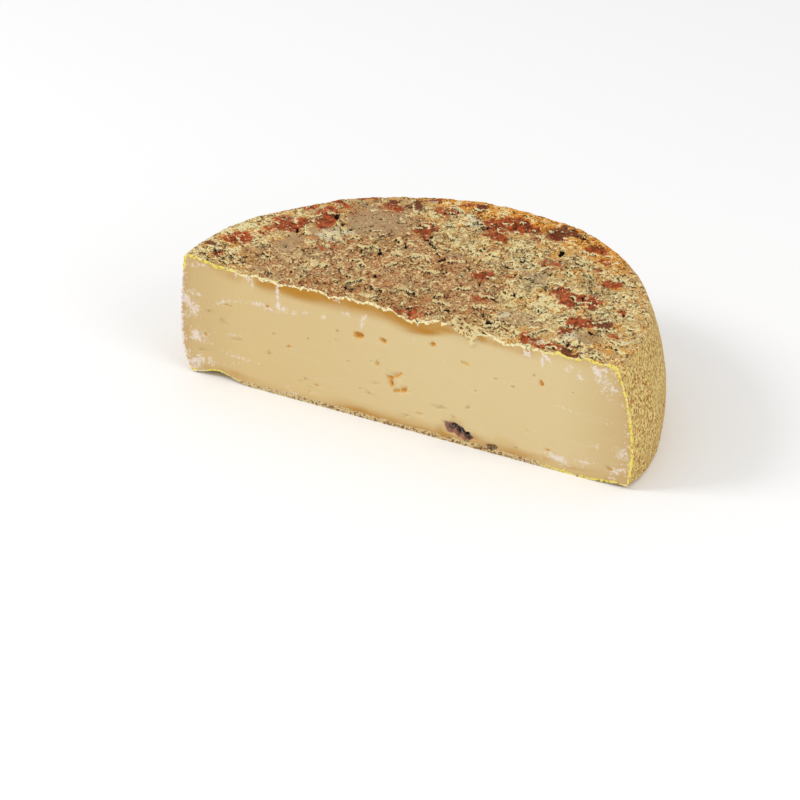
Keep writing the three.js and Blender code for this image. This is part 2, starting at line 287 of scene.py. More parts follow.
class RindRelief(bpy.types.PropertyGroup):
    """The crust's unevenness, from the broadest swell to the crumbs."""

    mesh_step: length("Mesh step", "Spacing of the crust's mesh", 0.55)
    swell_size: length("Swell size", "Width of the broadest unevenness", 30)
    swell: length("Swell", "Height of the broadest unevenness", 0.6)
    lump_size: length("Lump size", "Width of the lumps", 9)
    lump: length("Lump", "Height of the lumps", 0.5)
    flake_size: length("Flake size", "Width of one flake of crust", 6.5)
    flake: length("Flake step", "Height of a flake over the crust beside it", 0.6)
    hollow: length("Hollow", "Depth of the hollows between flakes", 0.7)
    undercut: length("Undercut", "Depth of the dark gap at the front of a flake", 1.1)
    undercut_reach: length("Undercut reach", "Width of that gap", 1.0)
    crumb_size: length("Crumb size", "Width of a crumb", 1.9)
    crumb: length("Crumb", "Height of a crumb", 0.42)
    crevice: length("Crevice depth", "Depth of the deep single crevices", 1.8)
    crater: length("Crater depth", "Depth of the sunken blob of mould", 2.0)
    most_triangles: bpy.props.IntProperty(name="Most triangles", description="Size of the finished mesh",
                                          default=192000)


class CutFace(bpy.types.PropertyGroup):
    """The cut through the paste."""

    mesh_step: length("Mesh step", "Spacing of the cut face's mesh", 1.0)
    eye_step: length("Eye step", "Spacing of the mesh inside the eyes", 0.3)
    wave: length("Wave", "How far the face strays from flat", 0.16)
    wave_size: length("Wave size", "Width of one such wave", 26)
    drag: length("Drag", "Height of the marks that the knife dragged", 0.05)
    flake_out: length("Flake out", "How far the hanging flake of rind stands out", 1.1)
    base_step: length("Base step", "Spacing of the underside's mesh", 3.0)
    base_wave: length("Base wave", "How far the underside's hollows rise off the board", 0.2)


class RindColours(bpy.types.PropertyGroup):
    """The moulds and yeasts that grow on a cellar-ripened rind, and the shade painted into its crevices,
    gaps and cracks.
    """

    yellow: colour("Yellow yeast", "The rind near the rim", "#cda05c")
    straw: colour("Straw", "Drier places near the rim", "#cdb078")
    taupe: colour("Taupe mould", "The felt of mould over the middle of the top", "#be9060")
    umber: colour("Umber", "Deeper brown in the taupe", "#b27f48")
    side: colour("Ochre side", "The brushed side", "#caac68")
    side_yellow: colour("Yellow side", "Yellow blooms on the side", "#e6c968")
    side_brown: colour("Brown side", "Brown spots on the side", "#925a28")
    orange: colour("Orange bloom", "The orange ferment along the back rim", "#e0942f")
    rosy: colour("Rosy felt", "Pinkish brown tints in the taupe", "#b97a4c")
    olive: colour("Olive felt", "Greenish grey tints in the taupe", "#ab9a70")
    red: colour("Red ferment", "The orange-red patches", "#8a2804")
    orange_red: colour("Orange-red ferment", "The lighter parts of the patches", "#b84c1e")
    dark_red: colour("Dark red ferment", "The darkest patches", "#6a2612")
    grey: colour("Grey mould", "Smooth grey mould", "#b3966f")
    pale: colour("Pale mould", "Whitish mould", "#d9cfae")
    crumb: colour("Dry crumb", "Dry crumbs and flake edges near the rim", "#efe2aa")
    crumb_grey: colour("Grey crumb", "Dry crumbs over the taupe", "#ead79c")
    shade: colour("Shade", "Fine dark pores", "#54300f")
    # Painted shade: near-black laid into the deep crevices, the open gaps at the flakes' front edges and the
    # fine cracks.
    crevice: colour("Crevice", "The bottom of a crevice", "#150b05")


class PasteColours(bpy.types.PropertyGroup):
    """The pressed paste and its rim, and the shade painted deep in its eyes and pits."""

    cream: colour("Cream", "The middle of the paste", "#d8c290")
    butter: colour("Butter", "Warmer paste to the left", "#d4ba84")
    amber: colour("Amber", "Ripened paste just under the rind", "#b47c0c")
    tan: colour("Tan", "Drier, clearer paste at the two ends", "#c5a872")
    smear: colour("Smear", "Scraped and smeared paste", "#e8dcd4")
    yellow_line: colour("Yellow line", "The rind's section at the ends", "#ead75c")
    cream_line: colour("Cream line", "The rind's section along the top", "#f3e6b4")
    brown_line: colour("Brown line", "The rind's section along the foot", "#7a5228")
    eye: colour("Eye", "The walls of an eye", "#f2c670")
    # Painted shade: the back of an eye is coloured darker than its walls, for the shade deep in it.
    eye_deep_shade: colour("Deep eye", "The back of an eye", "#dc9e38")
    pit: colour("Pit", "Mould in the rotted places", "#a87560")
    # Painted shade: the mould in the rotted places is coloured near-black where they go deepest.
    pit_depth_shade: colour("Pit shade", "The darkest mould there", "#20100a")


class StageSettings(bpy.types.PropertyGroup):
    """Camera, light and floor."""

    azimuth: FloatProperty(name="Azimuth", description="Camera's turn from straight in front of the cut",
                           default=math.radians(29.44), subtype="ANGLE")
    elevation: FloatProperty(name="Elevation", description="Camera's height above level",
                             default=math.radians(28.36), subtype="ANGLE")
    distance: FloatProperty(name="Distance", description="Camera to the point it looks at",
                            default=1.3, unit="LENGTH")
    lens: FloatProperty(name="Lens", description="Focal length on a 36 mm sensor, in mm", default=150.0)
    look_right: length("Look right", "Aim, to the right of the wheel's axis, across the view", -4.1)
    look_up: length("Look up", "Aim, up from the foot of the wheel's axis, across the view", 7.3)
    floor: colour("Floor", "Pale paper floor", "#fbfbfb")
    surround: FloatProperty(name="Surround", description="Strength of the even light all round",
                            default=0.74)
    key: FloatProperty(name="Key", description="Power of the main soft light, in watts", default=7.5)
    fill: FloatProperty(name="Fill", description="Power of the right-hand soft light, in watts",
                        default=3.0)


GROUPS = {
    "cheese_size": WheelSize,
    "cheese_relief": RindRelief,
    "cheese_cut": CutFace,
    "cheese_rind": RindColours,
    "cheese_paste": PasteColours,
    "cheese_stage": StageSettings,
}


def values(group):
    """A plain copy of a property group, quick to read inside a loop."""
    names = [name for name in group.bl_rna.properties.keys() if name not in ("rna_type", "name")]
    return SimpleNamespace(**{name: getattr(group, name) for name in names})


# ---- The wheel's form -------------------------------------------------------------------

def smooth_step(low, high, value):
    """0 below low, 1 above high, and an S curve between."""
    share = min(max((value - low) / (high - low), 0.0), 1.0)
    return share * share * (3.0 - 2.0 * share)


def patch_weight(x, y, patch_x, patch_y, half_length, half_width, turn):
    """1 in the middle of a turned oval patch, 0.5 on its edge, falling smoothly to 0 outside."""
    cos_turn = math.cos(math.radians(turn))
    sin_turn = math.sin(math.radians(turn))
    across_x = x - patch_x
    across_y = y - patch_y
    along = (across_x * cos_turn + across_y * sin_turn) / half_length
    aside = (across_y * cos_turn - across_x * sin_turn) / half_width
    return math.exp(-LN_2 * (along * along + aside * aside))


def side_inset(size, share, end):
    """How far the side leans in at a share of the height; end is 1 at +X and 0 at -X."""
    swing = 2 * end - 1
    if share > size.widest_at:
        above = (share - size.widest_at) / (1 - size.widest_at)
        return (size.top_inset + size.top_swing * swing) * above ** size.bulge_power
    below = (size.widest_at - share) / size.widest_at
    return (size.base_inset + size.base_swing * swing) * below ** size.bulge_power


def shoulder_share(size, height):
    """The share of the height, held to the stretch of side between the two shoulders."""
    held = min(max(height, size.base_shoulder), size.height - size.top_shoulder)
    return held / size.height


def plain_outline(size, base_z):
    """Half section of the plain wheel, from the axis along the underside, up and back in."""
    steps = 6
    points = [Vector((0, 0, base_z))]
    base_edge = size.radius - side_inset(size, shoulder_share(size, 0), 0.5)
    for i in range(steps):
        turn = math.pi / 2 * i / steps
        points.append(Vector((base_edge - size.base_shoulder * (1 - math.sin(turn)), 0,
                              base_z + (size.base_shoulder - base_z) * (1 - math.cos(turn)))))
    straight = size.height - size.base_shoulder - size.top_shoulder
    for i in range(4 * steps + 1):
        height = size.base_shoulder + straight * i / (4 * steps)
        inset = side_inset(size, height / size.height, 0.5)
        points.append(Vector((size.radius - inset, 0, height)))
    top_edge = points[-1].x
    for i in range(1, steps + 1):
        turn = math.pi / 2 * i / steps
        points.append(Vector((top_edge - size.top_shoulder * (1 - math.cos(turn)), 0,
                              size.height - size.top_shoulder * (1 - math.sin(turn)))))
    points.append(Vector((0, 0, size.height)))
    return points


def below_rind(point, size):
    """How deep a point of the plain wheel lies under the rind, and the way straight out."""
    radius = math.hypot(point.x, point.y)
    outward = Vector((point.x, point.y, 0)) / max(radius, 1e-6)
    inset = side_inset(size, shoulder_share(size, point.z), 0.5)
    from_side = size.radius - inset - radius
    from_top = size.height - point.z
    from_base = point.z
    if from_top < from_base:
        from_flat, shoulder, flat_way = from_top, size.top_shoulder, Vector((0, 0, 1))
    else:
        from_flat, shoulder, flat_way = from_base, size.base_shoulder, Vector((0, 0, -1))
    if from_side < shoulder and from_flat < shoulder:
        to_side = shoulder - from_side
        to_flat = shoulder - from_flat
        reach = math.hypot(to_side, to_flat)
        return shoulder - reach, (outward * to_side + flat_way * to_flat) / reach
    if from_side < from_flat:
        return from_side, outward
    return from_flat, flat_way


def top_drop(point, size):
    """How far the settled top lies below the plain one, over a point."""
    x = point.x / MM
    y = point.y / MM
    dish = sum(depth * math.exp(-((x - at_x) / spread_x) ** 2 / 2 - ((y - at_y) / spread_y) ** 2 / 2)
               for at_x, at_y, spread_x, spread_y, depth in DISHES)
    fall = size.fall * point.x / size.radius
    lip = size.end_lip * smooth_step(*END_LIP_SPAN, -x)
    edge = size.edge_sag * patch_weight(x, y, *EDGE_SAG_OVAL, 0)
    return dish * MM + fall - lip + edge


def settled(point, size):
    """Where a point of the plain wheel goes once the wheel has settled."""
    radius = math.hypot(point.x, point.y)
    share = point.z / size.height
    scale = 1.0
    if radius > 0:
        azimuth = math.degrees(math.atan2(point.y, point.x))
        flattened = size.flat_side * math.exp(-((azimuth - FLAT_SIDE_AZIMUTH) / FLAT_SIDE_SPREAD) ** 2)
        held = min(max(share, 0.0), 1.0)
        end = (1 + point.x / radius) / 2
        lean = side_inset(size, held, end) - side_inset(size, held, 0.5)
        scale = 1 - (lean + flattened) / size.radius
    lift = sum(rise * MM * patch_weight(point.x / MM, point.y / MM, at_x, at_y, spread, spread, 0)
               for at_x, at_y, spread, rise in RAISED_EDGES)
    lift *= max(1 - share, 0.0) ** 6
    return Vector((point.x * scale, point.y * scale, point.z - share * top_drop(point, size) + lift))


def unsettled_height(x, z, size):
    """The plain wheel's height for a height z on the settled cut face."""
    drop = top_drop(Vector((x, -size.cut, 0)), size)
    return z / (1 - drop / size.height)


# ---- The crust's relief -----------------------------------------------------------------

def listed_amount(x, y, patches):
    """How much of what a table lists there is at a place, in millimetres."""
    most = 0.0
    for patch_x, patch_y, half_length, half_width, turn, strength in patches:
        reach = PATCH_REACH * max(half_length, half_width)
        if abs(x - patch_x) > reach or abs(y - patch_y) > reach:
            continue
        most = max(most, strength * patch_weight(x, y, patch_x, patch_y, half_length, half_width, turn))
    return most


def top_amounts(point):
    """How much of each kind of patch there is at a point of the top, with wandering edges."""
    wander = noise.noise_vector(point / (7 * MM)) * 3.2 + noise.noise_vector(point / (2.6 * MM)) * 1.6
    x = point.x / MM + wander.x
    y = point.y / MM + wander.y
    return {kind: listed_amount(x, y, patches) for kind, patches in TOP_PATCHES.items()}


def crevice_amount(point):
    """1 in the bottom of a deep crevice, 0 away from all of them; their edges wander."""
    wander = noise.noise_vector(point / (2.4 * MM)) * 0.9
    x = point.x / MM + wander.x
    y = point.y / MM + wander.y
    most = 0.0
    for crevice_x, crevice_y, half_length, half_width, turn in CREVICES:
        if abs(x - crevice_x) > 9 or abs(y - crevice_y) > 9:
            continue
        most = max(most, patch_weight(x, y, crevice_x, crevice_y, half_length, half_width, turn))
    return smooth_step(0.3, 0.7, most)


def crater_height(point, relief):
    """The sunken blob of mould: a floor, and a rim that stands up round it."""
    x, y, radius = CRATER
    wander = noise.noise(point / (4 * MM)) * 1.2
    away = (math.hypot(point.x / MM - x, point.y / MM - y) + wander) / radius
    floor = -relief.crater * (1 - smooth_step(0.55, 0.95, away))
    rim = 0.5 * relief.crater * math.exp(-((away - 1.1) / 0.16) ** 2)
    return floor + rim


def flakes(place, relief):
    """Cloudy noise about -1 to 1 whose zero lines are the edges of the crust's flakes."""
    return noise.fractal(place / relief.flake_size, 0.75, 2.3, 3)


def crust(anchor, upness, relief, amounts):
    """The crust's height over the plain rind, its flakes' level, and where their front edges stand open."""
    flat_patch = min(1.0, amounts["grey"] + 0.4 * amounts["pale"])
    near_left_rim = smooth_step(-62 * MM, -78 * MM, anchor.x)
    near_rim = smooth_step(84 * MM, 93 * MM, math.hypot(anchor.x, anchor.y))
    rough = upness * (1 - 0.7 * flat_patch) * (1 - 0.45 * near_left_rim) * (1 - 0.75 * near_rim)

    swell = relief.swell * noise.fractal(anchor / relief.swell_size, 1.0, 2.0, 2)
    lump = relief.lump * noise.fractal(anchor / relief.lump_size, 0.9, 2.1, 4)

    level = flakes(anchor, relief)
    reach = Vector((0, relief.undercut_reach, 0))
    rise = flakes(anchor + reach, relief) - flakes(anchor - reach, relief)
    flake = smooth_step(-0.02, 0.1, level) + 0.5 * smooth_step(0.35, 0.5, level)
    hollow = smooth_step(-0.2, -0.6, level)
    loose = noise.noise(anchor / (5 * MM) + Vector((7, 3, 5)))
    lip = smooth_step(-0.25, 0.1, loose) * smooth_step(0.0, 0.25, rise)
    gap = smooth_step(0.03, 0.18, loose) * smooth_step(0.06, 0.3, rise)
    front = smooth_step(-0.2, -0.04, level) * (1 - smooth_step(-0.02, 0.06, level))
    crumb = relief.crumb * noise.fractal(anchor / relief.crumb_size, 0.8, 2.2, 2)
    crevice = crevice_amount(anchor) * upness

    height = swell * (0.4 + 0.6 * upness) + lump * (0.25 + 0.75 * rough)
    height += rough * (relief.flake * flake - relief.hollow * hollow - relief.undercut * gap * front)
    height += crumb * (0.25 + 0.75 * rough)
    height += upness * crater_height(anchor, relief)
    height -= relief.crevice * crevice
    return {"gap": gap * rough, "lip": lip * rough, "level": level, "crevice": crevice, "height": height}


# ---- Making the mesh --------------------------------------------------------------------

def object_from(bm, name):
    """A new object in the scene from a bmesh, which is freed."""
    mesh = bpy.data.meshes.new(name)
    bm.to_mesh(mesh)
    bm.free()
    made = bpy.data.objects.new(name, mesh)
    bpy.context.scene.collection.objects.link(made)
    return made


def apply_modifiers(made):
    """Replaces an object's mesh by what its modifiers make of it."""
    depsgraph = bpy.context.evaluated_depsgraph_get()
    finished = bpy.data.meshes.new_from_object(made.evaluated_get(depsgraph))
    old = made.data
    made.modifiers.clear()
    made.data = finished
    bpy.data.meshes.remove(old)


def remove(made):
    """Deletes a helper object and its mesh."""
    mesh = made.data
    bpy.data.objects.remove(made)
    bpy.data.meshes.remove(mesh)


def remesh(made, step):
    """Replaces an object's mesh by an even one, which melts together what overlaps."""
    even = made.modifiers.new("even mesh", "REMESH")
    even.mode = "VOXEL"
    even.voxel_size = step
    apply_modifiers(made)


def thickened(bm, axis, place):
    """Makes a slab of a sheet, with its far side moved to a place along an axis."""
    slab = bmesh.ops.extrude_face_region(bm, geom=bm.faces[:])
    far_side = [v for v in slab["geom"] if isinstance(v, bmesh.types.BMVert)]
    for vert in far_side:
        vert.co[axis] = place
    bmesh.ops.recalc_face_normals(bm, faces=bm.faces[:])
    return bm


def plain_wheel(size, relief):
    """The plain wheel with its front sliced roughly away, remeshed evenly for the crust."""
    bm = bmesh.new()
    outline = [bm.verts.new(p) for p in plain_outline(size, -size.spare / 5)]
    edges = [bm.edges.new(pair) for pair in zip(outline, outline[1:])]
    bmesh.ops.spin(bm, geom=outline + edges, cent=(0, 0, 0), axis=(0, 0, 1), angle=math.tau,
                   steps=360, use_merge=True)
    bmesh.ops.remove_doubles(bm, verts=bm.verts[:], dist=1e-6)
    rough_cut = bmesh.ops.bisect_plane(bm, geom=bm.verts[:] + bm.edges[:] + bm.faces[:],
                                       plane_co=(0, -size.cut - size.spare, 0),
                                       plane_no=(0, -1, 0), clear_outer=True)
    border = [e for e in rough_cut["geom_cut"] if isinstance(e, bmesh.types.BMEdge)]
    bmesh.ops.contextual_create(bm, geom=border)
    bmesh.ops.recalc_face_normals(bm, faces=bm.faces[:])
    wheel = object_from(bm, "half_wheel_skin")
    remesh(wheel, relief.mesh_step)
    return wheel


def knife(size, cut):
    """The slab that the knife takes away; its near side is the cut face with its small waves."""
    half_x = size.radius + 8 * MM
    low_z = -6 * MM
    high_z = size.height + 8 * MM
    across = round(2 * half_x / cut.mesh_step)
    up = round((high_z - low_z) / cut.mesh_step)
    bm = bmesh.new()
    bmesh.ops.create_grid(bm, x_segments=across, y_segments=up, size=0.5)
    bmesh.ops.scale(bm, verts=bm.verts[:], vec=(2 * half_x, high_z - low_z, 1))
    bmesh.ops.rotate(bm, verts=bm.verts[:], cent=(0, 0, 0), matrix=Matrix.Rotation(math.pi / 2, 3, "X"))
    bmesh.ops.translate(bm, verts=bm.verts[:], vec=(0, -size.cut, (low_z + high_z) / 2))
    for vert in bm.verts:
        vert.co.y += cut_face_wave(vert.co, size, cut)
    return object_from(thickened(bm, 1, -size.cut - 40 * MM), "knife")


def hanging_rind(point):
    """1 on the flake of rind that hangs over the top edge of the cut, 0 elsewhere."""
    x = point.x / MM
    z = point.z / MM
    if not 20 < x < 38:
        return 0.0
    wander = 1.1 * noise.noise(Vector((x, 0, z)) / 2.2)
    tongue = 45.4 + 0.55 * max(0, 31.5 - x) + 2.2 * max(0, x - 32.6)
    return smooth_step(-0.4, 0.4, z + wander - tongue)


def cut_face_wave(point, size, cut):
    """How far the cut face lies behind (+) or in front (-) of its plane."""
    wave = cut.wave * noise.fractal(Vector((point.x, 0, point.z)) / cut.wave_size, 1.0, 2.0, 3)
    slant = Vector((point.x / (30 * MM), 0, (point.z + 0.12 * point.x) / (1.8 * MM)))
    drag = cut.drag * noise.noise(slant)
    crumbled = 0.25 * MM * noise.noise(Vector((point.x, 5 * MM, point.z)) / (1.6 * MM))
    edge = smooth_step(2.5 * MM, 0.0, point.z) + smooth_step(size.height - 2.5 * MM, size.height, point.z)
    return wave + drag + crumbled * edge - cut.flake_out * hanging_rind(point)


def board(size, cut):
    """The slab under the wheel that leaves its underside flat, with a few shallow hollows."""
    half = size.radius + 10 * MM
    steps = round(2 * half / cut.base_step)
    bm = bmesh.new()
    bmesh.ops.create_grid(bm, x_segments=steps, y_segments=steps, size=half)
    for vert in bm.verts:
        hollow = noise.fractal(vert.co / (16 * MM), 1.0, 2.0, 3)
        vert.co.z = cut.base_wave * min(max(hollow, 0.0), 1.0)
    return object_from(thickened(bm, 2, -12 * MM), "board")


def openings(holes, size, cut, ragged, name):
    """Uneven blobs, one for each opening, melted into one closed mesh where they overlap."""
    bm = bmesh.new()
    for x, z, width, height, depth, turn in holes:
        narrow = min(width, height)
        depth = min(depth, narrow * (0.75 if narrow > 1.2 else 0.4))
        blob = bmesh.ops.create_icosphere(bm, subdivisions=4, radius=1.0)["verts"]
        bmesh.ops.scale(bm, verts=blob, vec=(width / 2 * MM, depth * MM, height / 2 * MM))
        bmesh.ops.rotate(bm, verts=blob, cent=(0, 0, 0), matrix=Matrix.Rotation(-math.radians(turn), 3, "Y"))
        plain_z = unsettled_height(x * MM, z * MM, size)
        bmesh.ops.translate(bm, verts=blob, vec=(x * MM, -size.cut, plain_z))
        grain = max(narrow, 1.5) * 0.5 * MM
        for vert in blob:
            vert.co += noise.noise_vector(vert.co / grain) * (ragged * narrow * MM)
    made = object_from(bm, name)
    remesh(made, cut.eye_step)
    return made


def take_away(wheel, cutter):
    """Cuts one closed mesh out of another."""
    taken = wheel.modifiers.new("cut", "BOOLEAN")
    taken.operation = "DIFFERENCE"
    taken.solver = "MANIFOLD"
    taken.object = cutter
    apply_modifiers(wheel)
    remove(cutter)


# The two materials' places on the mesh, and what it notes at each point besides the patches.
RIND = 0
PASTE = 1
CRUST_NOTES = ("gap", "lip", "level", "crevice")
FACE_NOTES = ("side", "depth", "smear", "amber", "hole", "pit", "hanging")


def pit_amount(x, z):
    """1 inside the rotted places at the foot of the cut face."""
    most = 0.0
    for pit_x, pit_z, width, height, _, turn in PITS:
        most = max(most, patch_weight(x, z, pit_x, pit_z, width / 2 + 0.6, height / 2 + 0.6, turn))
    return smooth_step(0.3, 0.6, most)


def grow_crust(bm, size, relief, cut):
    """Moves every point from the plain wheel to its place, and notes what the materials need."""
    layers = {name: bm.verts.layers.float.new(name) for name in
              (*TOP_PATCHES, *CRUST_NOTES, *FACE_NOTES)}
    for vert in bm.verts:
        plain = vert.co.copy()
        depth, way = below_rind(plain, size)
        anchor = plain + way * depth
        upness = smooth_step(0.15, 0.85, way.z)
        downness = smooth_step(0.3, 0.9, -way.z)
        fade = 1 - smooth_step(0.4 * MM, 2.6 * MM, depth)
        height = 0.0
        if fade > 0 and downness < 1:
            amounts = top_amounts(anchor)
            found = crust(anchor, upness, relief, amounts)
            height = found["height"] * (1 - downness)
            for kind in TOP_PATCHES:
                vert[layers[kind]] = amounts[kind] * (way.z > -0.3 if kind == "orange" else upness)
            for name in CRUST_NOTES:
                vert[layers[name]] = found[name] * (1 - downness)
        vert.co = settled(plain + way * (height * fade), size)
        vert.co.z = max(vert.co.z, 0.0)
        x = vert.co.x / MM
        z = vert.co.z / MM
        behind = vert.co.y + size.cut - cut_face_wave(plain, size, cut)
        vert[layers["side"]] = 1 - upness
        vert[layers["depth"]] = max(depth + height * (1 - fade), 0) / MM
        if behind < 6 * MM:
            vert[layers["smear"]] = listed_amount(x, z, SMEARS)
            vert[layers["amber"]] = listed_amount(x, z, AMBERS)
            vert[layers["hole"]] = max(behind, 0) / MM
            vert[layers["pit"]] = pit_amount(x, z)
            vert[layers["hanging"]] = hanging_rind(plain)


def lay_out_uv(bm, size):
    """One island each for top, underside and cut face, and two for the side, on one square sheet."""
    sheet = 284 * MM
    inner_radius = size.radius - 6 * MM
    layer = bm.loops.layers.uv.new("OFBake")
    for face in bm.faces:
        centre = face.calc_center_median()
        steep = abs(face.normal.z)
        for loop in face.loops:
            at = loop.vert.co
            if face.material_index == PASTE:
                u, v = at.x + 102 * MM, at.z + 112 * MM
            elif face.normal.z < -0.75 and centre.z < 3 * MM:
                u, v = (at.y + 12 * MM) * 0.7 + 206 * MM, (at.x + 102 * MM) * 0.7 + 2 * MM
            elif steep > 0.35 and centre.z > 40 * MM and math.hypot(centre.x, centre.y) < inner_radius:
                u, v = at.x + 102 * MM, at.y + 11 * MM
            else:
                around = math.atan2(at.y, at.x)
                back = math.atan2(centre.y, centre.x) > math.pi / 2 or centre.x < 0
                if around < -math.pi / 2:
                    around += math.tau
                run = (around - math.pi / 2 if back else around + 0.1) * size.radius
                u, v = run + 2 * MM, at.z + (226 if back else 169) * MM
            loop[layer].uv = (u / sheet, v / sheet)


def mark_faces(bm, size, cut):
    """Rind outside and on the hanging flake, paste on the cut and in its openings."""
    for face in bm.faces:
        centre = face.calc_center_median()
        depth, _ = below_rind(centre, size)
        on_cut = abs(centre.y + size.cut - cut_face_wave(centre, size, cut)) < 0.08 * MM
        in_paste = (on_cut or depth > 0.5 * MM) and hanging_rind(centre) < 0.5
        face.material_index = PASTE if in_paste else RIND
        face.smooth = True


def lighten_mesh(wheel, relief):
    """Collapses the mesh to the size asked for, sparing the crusty top the most."""
    mesh = wheel.data
    sides = mesh.attributes["side"].data
    spared = wheel.vertex_groups.new(name="sparable")
    for index, item in enumerate(sides):
        spared.add([index], 0.25 + 0.75 * item.value, "REPLACE")
    triangles = sum(len(polygon.vertices) - 2 for polygon in mesh.polygons)
    lighter = wheel.modifiers.new("lighter", "DECIMATE")
    lighter.ratio = min(1.0, relief.most_triangles / triangles)
    lighter.vertex_group = spared.name
    apply_modifiers(wheel)


def half_wheel_mesh(size, relief, cut):
    """The finished half wheel's object."""
    noise.seed_set(NOISE_SEED)
    wheel = plain_wheel(size, relief)
    take_away(wheel, knife(size, cut))
    take_away(wheel, board(size, cut))
    take_away(wheel, openings(EYES, size, cut, 0.10, "eyes"))
    take_away(wheel, openings(TORN_EYES, size, cut, 0.2, "torn_eyes"))
    take_away(wheel, openings(PITS, size, cut, 0.24, "pits"))
    bm = bmesh.new()
    bm.from_mesh(wheel.data)
    bmesh.ops.remove_doubles(bm, verts=bm.verts[:], dist=1e-6)
    bmesh.ops.triangulate(bm, faces=bm.faces[:])
    mark_faces(bm, size, cut)
    grow_crust(bm, size, relief, cut)
    remove(wheel)
    wheel = object_from(bm, "crusty_wheel")
    lighten_mesh(wheel, relief)
    bm = bmesh.new()
    bm.from_mesh(wheel.data)
    remove(wheel)
    bmesh.ops.triangulate(bm, faces=bm.faces[:])
    bm.normal_update()
    lay_out_uv(bm, size)
    for edge in bm.edges:
        edge.smooth = len({face.material_index for face in edge.link_faces}) == 1
    bmesh.ops.translate(bm, verts=bm.verts[:], vec=(0, AXIS_Y, 0))
    return object_from(bm, "cheese_half_wheel")


# ---- Materials --------------------------------------------------------------------------

def add(tree, kind, inputs=None, **settings):
    """Adds a node, sets its properties, and fills its sockets with values or with other sockets."""
    node = tree.nodes.new(kind)
    for name, value in settings.items():
        setattr(node, name, value)
    for name, value in (inputs or {}).items():
        if isinstance(value, bpy.types.NodeSocket):
            tree.links.new(value, node.inputs[name])
        else:
            node.inputs[name].default_value = value
    return node


def new_material(name):
    """An empty node material and its tree."""
    material = bpy.data.materials.new(name)
    material.use_nodes = True
    material.node_tree.nodes.clear()
    return material, material.node_tree


MIX_FACTOR, MIX_A, MIX_B, MIX_RESULT = 0, 6, 7, 2


def blend(tree, amount, first, second, strength=None):
    """The first colour covered by an amount of the second, no more than strength of it, as a socket."""
    factor = amount if strength is None else scaled(tree, amount, strength)
    mixed = add(tree, "ShaderNodeMix", {MIX_FACTOR: factor, MIX_A: first, MIX_B: second}, data_type="RGBA")
    return mixed.outputs[MIX_RESULT]


def pattern(tree, where, size_mm, detail, roughness, shift=0.0):
    """Cloudy noise whose features are about size_mm wide, as a socket from 0 to 1."""
    made = add(tree, "ShaderNodeTexNoise", {"Vector": where, "Scale": 1 / (size_mm * MM),
                                            "Detail": detail, "Roughness": roughness, "W": shift},
               noise_dimensions="4D")
    return made.outputs["Fac"]


def math_of(tree, operation, *terms):
    """One sum, product or power, as a socket."""
    made = add(tree, "ShaderNodeMath", dict(enumerate(terms)), operation=operation)
    return made.outputs[0]


def between(tree, value, low, high):
    """0 below low, 1 above high, smooth between, as a socket."""
    made = add(tree, "ShaderNodeMapRange", {"Value": value, "From Min": low, "From Max": high},
               interpolation_type="SMOOTHSTEP")
    return made.outputs["Result"]


def noted(tree, name):
    """What the mesh notes at each point under a name, as a socket."""
    return add(tree, "ShaderNodeAttribute", attribute_name=name).outputs["Fac"]


def plus(tree, value, other, factor):
    """A value plus another times a factor, as a socket."""
    return math_of(tree, "MULTIPLY_ADD", other, factor, value)


def swayed(tree, value, cloud, reach):
    """A value pushed up and down by a cloudy pattern, by up to half of reach, as a socket."""
    return plus(tree, value, math_of(tree, "SUBTRACT", cloud, 0.5), reach)


def ragged_mask(tree, name, coarse, fine, low, high):
    """A noted amount whose edge is broken up by the mould's own grain."""
    broken = plus(tree, noted(tree, name), coarse, 0.9)
    broken = plus(tree, broken, fine, 1.3)
    return between(tree, broken, low + 1.1, high + 1.1)


def inverse(tree, value):
    """One minus a value, as a socket."""
    return math_of(tree, "SUBTRACT", 1.0, value)


def scaled(tree, value, factor):
    """A value times a number or another value, as a socket."""
    return math_of(tree, "MULTIPLY", value, factor)


def fine_cracks(tree, where):
    """Thin winding cracks between flakes a few millimetres wide, as a socket; the rind paints their shade
    into them as dark lines.
    """
    wander = add(tree, "ShaderNodeTexNoise", {"Vector": where, "Scale": 1 / (3 * MM), "Detail": 3})
    warped = add(tree, "ShaderNodeVectorMath", {0: wander.outputs["Color"], 1: (4 * MM,) * 3, 2: where},
                 operation="MULTIPLY_ADD")
    cells = add(tree, "ShaderNodeTexVoronoi", {"Vector": warped.outputs["Vector"], "Scale": 1 / (5 * MM)},
                feature="DISTANCE_TO_EDGE")
    return inverse(tree, between(tree, cells.outputs["Distance"], 0.03, 0.085))


